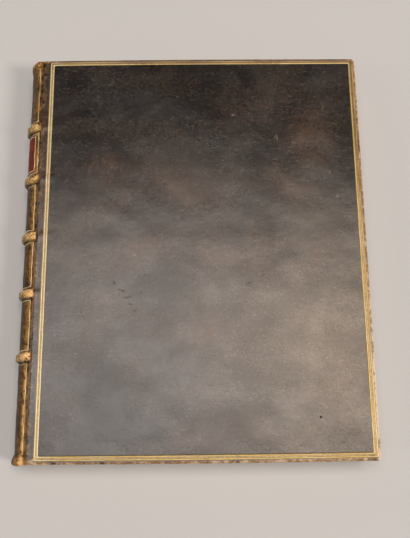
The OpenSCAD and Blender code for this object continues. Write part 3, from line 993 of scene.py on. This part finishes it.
def leaf_rows(half_t):
    """Height of each row of points through the leaves and how far it stands out, as two columns: two
    rows on each leaf's edge and one set back between it and the next."""
    leaves = PAGE_GROUPS * PAGES_A_GROUP
    rng = np.random.default_rng(21)
    out = np.repeat(rng.normal(0, 0.10 * MM, PAGE_GROUPS), PAGES_A_GROUP) + rng.normal(0, 0.045 * MM, leaves)
    levels = np.linspace(-half_t, half_t, leaves + 1)
    low, high = levels[:-1], levels[1:]
    gap = (high - low) * LEAF_GAP
    rows_z = np.stack([low + gap, high - gap, high], axis=1).ravel()[:-1]
    rows_out = np.stack([out, out, out - 0.09 * MM], axis=1).ravel()[:-1]
    return np.r_[-half_t, rows_z, half_t][:, None], np.r_[0, rows_out, 0][:, None]


def head_surface(half_t, rows_z, rows_out, fore_x):
    """Points of the head of the pages: fanned out over the round back, then straight across."""
    pages_r = AXIS_X - BLOCK_LOW.x
    tip = math.asin((BLOCK_HIGH.z - MIDDLE) / pages_r) * rows_z / half_t
    fan, run = np.linspace(0, 1, 9)[:-1], np.linspace(0, 1, ACROSS_STEPS)
    fan_x = (AXIS_X - pages_r * np.cos(tip)) * (1 - fan) + JOINT_X * fan
    fan_z = pages_r * np.sin(tip) * (1 - fan) + rows_z * fan
    run_x = JOINT_X * (1 - run) + fore_x * run + rows_out * run ** 30
    xs = np.concatenate([fan_x, run_x], axis=1)
    zs = np.concatenate([fan_z, rows_z + 0 * run_x], axis=1)
    return np.stack([xs, BLOCK_HIGH.y + rows_out + 0 * xs, MIDDLE + zs], axis=2)


def text_block():
    """Leaves fanned out over the round back, straight across, hollow at the fore-edge."""
    half_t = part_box("front_endpaper")[0].z - MIDDLE
    rows_z, rows_out = leaf_rows(half_t)
    hollow_r = (half_t ** 2 + HOLLOW ** 2) / (2 * HOLLOW)
    fore_x = BLOCK_HIGH.x - HOLLOW + hollow_r - np.sqrt(hollow_r ** 2 - rows_z ** 2)
    head = head_surface(half_t, rows_z, rows_out, fore_x)
    inner = np.linspace(-BLOCK_HIGH.y, BLOCK_HIGH.y, 64)[1:-1]
    ripple = 0.12 * MM * waves(inner, 0.3 * rows_z, 0.05, 77)
    fore = np.stack([fore_x + rows_out + ripple, inner + 0 * ripple, MIDDLE + rows_z + 0 * ripple], axis=2)
    points = np.concatenate([part.reshape(-1, 3) for part in (head, head * (1, -1, 1), fore)])

    at_head = vertex_grid(*head.shape[:2])
    at_tail = at_head + at_head.size
    at_fore = vertex_grid(*fore.shape[:2], 2 * at_head.size)
    across = np.concatenate([at_tail[:, -1:], at_fore, at_head[:, -1:]], axis=1)
    back = np.stack([at_head[:, 0], at_tail[:, 0]])
    flats = [np.concatenate([at_head[r], at_fore[r, ::-1], at_tail[r, ::-1]]) for r in (0, -1)]
    faces = [*quads(at_head), *quads(at_tail)[:, ::-1], *quads(across), *quads(back), *flats]
    make_piece("text_block_leaves", points, faces, "pages", PAGE, ["text_block"])


WRAPS = 58
STEPS_A_WRAP = 6
RED_WRAPS, WRAPS_A_STRIPE = 2, 6


def headband(name, node):
    """Silk sewn round a core in two colours, along the end of the pages."""
    low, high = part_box(node)
    core_r = (high.y - low.y) / 2
    y = (high.y + low.y) / 2
    ring_r = AXIS_X - low.x - core_r
    reach = math.asin(min(1, (high.z - MIDDLE) / ring_r))
    turns = np.linspace(0, 2 * math.pi, 14, endpoint=False)
    rings, colours = [], []
    for i, angle in enumerate(np.linspace(-reach, reach, WRAPS * STEPS_A_WRAP + 1)):
        wrap = i / STEPS_A_WRAP
        taper = min(1, (1 - abs(angle) / reach) * 12 + 0.25)
        thread = core_r * (0.9 + 0.1 * abs(math.sin(wrap * math.pi))) * taper
        out = ring_r + thread * np.cos(turns)
        rings.append(np.stack([AXIS_X - out * math.cos(angle), y + thread * np.sin(turns),
                               MIDDLE + out * math.sin(angle)], axis=1))
        colours.append(np.full(len(turns), float(int(wrap) % WRAPS_A_STRIPE < RED_WRAPS)))
    make_piece(name, np.concatenate(rings), tube_faces(len(rings), len(turns)), "pages",
               SILK, [node], {"turn": np.concatenate(colours)})


text_block()
headband("head_band_silk", "head_headband")
headband("tail_band_silk", "tail_headband")

# The joints: leather outside and paper inside bend between the pages and each cover

LEATHER_JOINT_T = 0.25 * MM
PAPER_JOINT_T = 0.06 * MM

# Sections of the strips in mm: x past the joint line, and depth under the leather or under the flat plane
LEATHER_JOINT = ((-1.1, 0.38), (-0.7, 0.24), (-0.35, 0.13), (-0.12, 0.05), (0, 0.03), (0.06, 0.02),
                 (0.12, 0.02), (0.18, 0.02), (0.24, 0.02), (0.3, 0.03), (0.45, 0.08), (0.8, 0.18), (1.4, 0.3))
PAPER_JOINT = ((0.02, -2.5), (0.02, -1.9), (0.03, -1.4), (0.06, -1.12), (0.1, -1.0), (0.15, -0.97),
               (0.2, -1.0), (0.24, -1.12), (0.27, -1.4), (0.28, -1.9), (0.28, -2.5))


def joint_surface(u, y, side, seed):
    """Height of the leather over the covers' flat plane, u past the joint line: the spine's before the
    gap, the cover's after it, and an even slope between them."""
    before = np.minimum(u, 0)
    reach = AXIS_X - JOINT_X - before
    radius = SPINE_R + spine_rise(side * np.arccos(reach / SPINE_R) * SPINE_R, y)
    roll = np.clip((np.abs(y) - CAP_Y) / (CAP_R * CAP_PINCH), 0, 1)
    spine = np.sqrt(radius ** 2 - reach ** 2) - TOP - CAP_R * (1 - np.sqrt(1 - roll ** 2))
    turn = np.clip((np.abs(y) - HALF_H + EDGE_R) / EDGE_R, 0, 1)
    cover = cover_height(X0 + np.maximum(u - JOINT_GAP, 0), y, seed) - EDGE_R * (1 - np.sqrt(1 - turn ** 2))
    share = np.clip(u / JOINT_GAP, 0, 1)
    return spine * (1 - share) + cover * share


def joint_strip(name, ys, sections, side, material):
    """A thin strip along the joint from its closed sections of x past the joint line and height."""
    count = len(sections[0])
    points = []
    for y, section in zip(ys, sections):
        u, height = section.T
        points.append(np.stack([JOINT_X + u, np.full(count, y), MIDDLE + side * (TOP + height)], axis=1))
    wear = 0.2 + 0.35 * np.exp(-(HALF_H - np.abs(np.repeat(ys, count))) / (3 * MM))
    strip = make_piece(name, np.concatenate(points), tube_faces(len(ys), count), None, material,
                       (), {"wear": wear})
    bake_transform(strip)


def leather_joint(side, seed, word):
    """Leather from the spine to the cover, nearly flush with both and tucked under them at its sides."""
    turns = np.linspace(0, math.pi / 2, 7)[1:]
    ends = HALF_H - EDGE_R + EDGE_R * np.sin(turns)
    ys = np.concatenate([-ends[::-1], np.linspace(EDGE_R - HALF_H, HALF_H - EDGE_R, 150), ends])
    u, sink = np.array(LEATHER_JOINT).T * MM
    sections = []
    for y in ys:
        outline = np.stack([u, joint_surface(u, y, side, seed) - sink], axis=1)
        sections.append(np.concatenate([outline, (outline - [0, LEATHER_JOINT_T])[::-1]]))
    joint_strip(f"{word}_joint_leather", ys, sections, side, CALF)


def paper_joint(side, word):
    """Paper that folds down into the joint between the endpaper and the pastedown."""
    path = np.array(PAPER_JOINT) * MM
    steps = np.diff(path, axis=0)
    steps = np.concatenate([steps[:1], (steps[1:] + steps[:-1]) / 2, steps[-1:]])
    out = np.stack([-steps[:, 1], steps[:, 0]], axis=1) / np.linalg.norm(steps, axis=1)[:, None]
    section = np.concatenate([path, (path - out * PAPER_JOINT_T)[::-1]])
    half = BLOCK_HIGH.y - 0.2 * MM
    ys = np.linspace(-half, half, 120)
    joint_strip(f"{word}_joint_paper", ys, [section] * len(ys), side, PAPER)


for side, seed, word in SIDES:
    leather_joint(side, seed, word)
    paper_joint(side, word)

# Finishes of the pieces that keep their own shape
FINISHES = {
    PAPER: ["front_endpaper", "back_endpaper", "front_pastedown", "back_pastedown", "spine_lining"],
    HEMP: [f"sewing_cord_{i}" for i in range(1, 6)] + ["front_cord_slips", "back_cord_slips"],
    BOARD: ["front_board", "back_board"],
}
for material, names in FINISHES.items():
    for name in names:
        mesh = frame["nodes"][name].data
        mesh.materials.clear()
        mesh.materials.append(material)

# Floor, lights and camera

FLOOR_REACH = 4.0
FLOOR_COLOURS = ((0.66, 0.695, 0.735), (0.69, 0.725, 0.765))
WORLD_LIGHT = (0.092, 0.096, 0.1)
WALL = (0.6, 0.56, 0.515)

# Each lamp: its name, place, target, size, power and colour
LAMPS = (
    ("overhead", (0.0, 0.93, 4.5), (0.0, 0.93, 0.0), (3.4, 1.0), 52, (1.0, 0.875, 0.79)),
    ("overhead_near", (0.0, -0.05, 4.5), (0.0, -0.05, 0.0), (3.4, 0.96), 46, (1.0, 0.925, 0.885)),
    ("warm_glow", (0.85, 0.3, 3.6), (0.85, 0.3, 0.0), (0.9, 1.0), 15, (1.0, 0.66, 0.36)),
    ("right_side", (3.2, -1.4, 3.4), (0.0, 0.0, 0.0), (0.9, 1.2), 80, (1.0, 0.86, 0.7)),
    ("left_side", (-2.6, -0.5, 1.8), (-0.11, 0.0, 0.02), (0.3, 0.8), 6, (1.0, 0.84, 0.62)),
)

CAMERA_PLACE = (0.0043, -0.1261, 0.4835)
CAMERA_TURNS = ((0.56, "Z"), (0.51, "Y"), (-13.73, "X"))
SENSOR_W, LENS = 36, 46.84


def floor():
    """A wide, plain, pale floor."""
    mesh = bpy.data.meshes.new("floor")
    corners = [(x * FLOOR_REACH, y * FLOOR_REACH, 0) for x, y in ((-1, -1), (1, -1), (1, 1), (-1, 1))]
    mesh.from_pydata(corners, [], [(0, 1, 2, 3)])
    s = Shader("floor", Roughness=0.9)
    mesh.materials.append(s.finish(s.mix(s.noise(3, 2), *FLOOR_COLOURS)))
    plane = bpy.data.objects.new("floor", mesh)
    bpy.context.scene.collection.objects.link(plane)


def area_light(name, place, target, size, power, colour):
    """A rectangular lamp that faces its target."""
    data = bpy.data.lights.new(name, "AREA")
    data.shape = "RECTANGLE"
    data.size, data.size_y = size
    data.energy = power
    data.color = colour
    lamp = bpy.data.objects.new(name, data)
    lamp.location = place
    lamp.rotation_mode = "QUATERNION"
    lamp.rotation_quaternion = (Vector(target) - Vector(place)).to_track_quat("-Z", "Y")
    bpy.context.scene.collection.objects.link(lamp)


def world():
    """Dim light from all round. The camera, gloss and glass see a pale wall behind the floor."""
    made = bpy.data.worlds.new("studio")
    made.use_nodes = True
    nodes = Nodes(made.node_tree, "Generated")
    path = nodes.node("ShaderNodeLightPath").outputs
    low_down = nodes.range(nodes.axis("Z"), 0.1, 0.35, 1.0, 0.0)
    mirrored = nodes.times(nodes.most(path["Is Glossy Ray"], path["Is Transmission Ray"]), low_down)
    seen = nodes.most(path["Is Camera Ray"], mirrored)
    nodes.put(made.node_tree.nodes["Background"].inputs["Color"], nodes.mix(seen, WORLD_LIGHT, WALL))
    bpy.context.scene.world = made


def camera():
    """Nearly overhead, a little towards the tail, as the book was photographed."""
    data = bpy.data.cameras.new("camera")
    data.sensor_fit = "AUTO"
    data.sensor_width = SENSOR_W
    data.lens = LENS
    seen = bpy.data.objects.new("camera", data)
    tilt = Matrix.Identity(3)
    for degrees, axis in CAMERA_TURNS:
        tilt = tilt @ Matrix.Rotation(math.radians(degrees), 3, axis)
    seen.matrix_world = Matrix.Translation(CAMERA_PLACE) @ tilt.transposed().to_4x4()
    bpy.context.scene.collection.objects.link(seen)
    bpy.context.scene.camera = seen


floor()
world()
for lamp in LAMPS:
    area_light(*lamp)
camera()

bpy.context.scene.view_settings.view_transform = "Standard"
